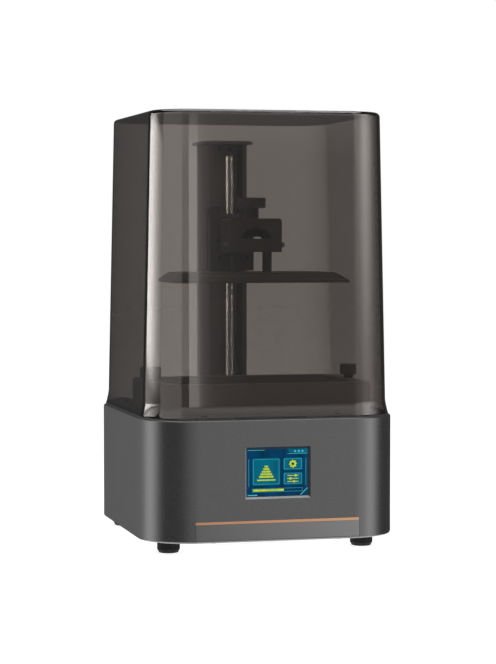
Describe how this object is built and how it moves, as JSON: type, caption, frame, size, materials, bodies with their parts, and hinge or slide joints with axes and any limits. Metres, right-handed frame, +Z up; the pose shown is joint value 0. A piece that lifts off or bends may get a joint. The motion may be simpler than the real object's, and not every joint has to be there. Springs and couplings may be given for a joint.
{
  "type": "resin 3d printer",
  "caption": "Desktop resin printer: rounded base with a touch screen, smoked lift-off hood, screw-driven Z axis, build platform, vat and UV unit.",
  "frame": {"origin": "centre of the machine's footprint, on the table surface", "axes": "+X to the machine's right seen from the front, -Y towards the front with the screen, +Z up"},
  "size_m": [0.229, 0.243, 0.384],
  "materials": {
    "case": "fine grained dark grey powder coat",
    "steel_sheet": "plain sheet steel",
    "rubber": "matt",
    "screw_steel": "machined",
    "deck": "dark satin",
    "black_screws": "black oxide",
    "screen_glass": "polished",
    "screen_black": "gloss",
    "black_plastic": "matt",
    "lens": "clear",
    "white_board": "white solder mask",
    "led": "gloss",
    "bare_aluminium": "machined",
    "circuit_board": "green solder mask",
    "brass": "machined",
    "red_plastic": "gloss",
    "bright_steel": "plated",
    "picture": "glossy display, lit blue",
    "strip": "satin grey",
    "accent": "orange",
    "column": "dark anodised",
    "rail_steel": "ground",
    "block_steel": "satin",
    "motor": "black",
    "black_metal": "black anodised",
    "ball_steel": "black oxide",
    "platform_metal": "dark anodised",
    "knob_plastic": "matt, knurled",
    "vat_metal": "satin black",
    "film": "clear",
    "smoked_hood": "smoked, polished"
  },
  "bodies": {
    "base": {"base_shell": "case", "bottom_plate": "steel_sheet", "rubber_feet": "rubber", "foot_screws": "screw_steel", "plate_screws": "screw_steel", "top_deck": "deck", "deck_screws": "black_screws", "protective_glass": "screen_glass", "mask_lcd": "screen_black", "light_housing": "black_plastic", "lens_plate": "lens", "led_board": "white_board", "led_array": "led", "heatsink": "bare_aluminium", "fan_frame": "black_plastic", "mainboard": "circuit_board", "board_parts": "black_plastic", "board_standoffs": "brass", "power_inlet": "black_plastic", "switch_housing": "black_plastic", "usb_port": "bright_steel", "screen_bezel": "black_plastic", "touch_panel": "picture", "display_module": "circuit_board", "strip_plate": "strip", "accent_line": "accent", "z_column": "column", "column_cap": "column", "column_foot": "deck", "column_bolts": "black_screws", "guide_rail": "rail_steel", "rail_screws": "screw_steel", "z_motor": "motor", "motor_standoffs": "bare_aluminium", "limit_sensor": "black_plastic", "vat_frame": "vat_metal", "vat_film": "film", "film_ring": "bare_aluminium", "ring_screws": "black_screws"},
    "hood": {"hood_shell": "smoked_hood", "hood_seal": "rubber"},
    "z_carriage": {"carriage": "black_metal", "guide_block": "block_steel", "lead_nut": "brass", "carriage_screws": "screw_steel", "sensor_flag": "bright_steel", "platform_arm": "black_metal", "levelling_ball": "ball_steel", "clamp_block": "black_metal", "platform_mount": "black_metal", "side_screws": "screw_steel", "platform_posts": "black_metal", "build_platform": "platform_metal"},
    "drive_screw": {"lead_screw": "rail_steel", "shaft_coupler": "bare_aluminium"},
    "fan": {"fan_rotor": "black_plastic"},
    "clamp": {"clamp_knob": "knob_plastic"},
    "left_vat_knob": {"vat_knob_left": "knob_plastic"},
    "right_vat_knob": {"vat_knob_right": "knob_plastic"},
    "rocker": {"power_rocker": "red_plastic"}
  },
  "joints": [
    {"name": "hood_lift", "type": "slide", "parent": "base", "child": "hood", "axis": [0, 0, 1], "range_m": [0, 0.27]},
    {"name": "carriage_lift", "type": "slide", "parent": "base", "child": "z_carriage", "axis": [0, 0, 1], "range_m": [-0.1155, 0.048]},
    {"name": "lead_screw_turn", "type": "hinge", "parent": "base", "child": "drive_screw", "pos_m": [0, 0.052, 0.2], "axis": [0, 0, 1], "continuous": true},
    {"name": "fan_spin", "type": "hinge", "parent": "base", "child": "fan", "pos_m": [0.043, 0.112, 0.062], "axis": [0, 1, 0], "continuous": true},
    {"name": "clamp_knob_turn", "type": "hinge", "parent": "z_carriage", "child": "clamp", "pos_m": [0, -0.029, 0.305], "axis": [0, 0, 1], "range_deg": [0, 720]},
    {"name": "vat_knob_left_turn", "type": "hinge", "parent": "base", "child": "left_vat_knob", "pos_m": [-0.092, -0.029, 0.154], "axis": [0, 0, 1], "range_deg": [0, 720]},
    {"name": "vat_knob_right_turn", "type": "hinge", "parent": "base", "child": "right_vat_knob", "pos_m": [0.092, -0.029, 0.154], "axis": [0, 0, 1], "range_deg": [0, 720]},
    {"name": "power_switch_rock", "type": "hinge", "parent": "base", "child": "rocker", "pos_m": [-0.009, 0.1141, 0.0345], "axis": [1, 0, 0], "range_deg": [-16, 0]}
  ],
  "couplings": [
    {"joint": "lead_screw_turn", "follows": "carriage_lift", "rad_per_m": -785.4}
  ]
}
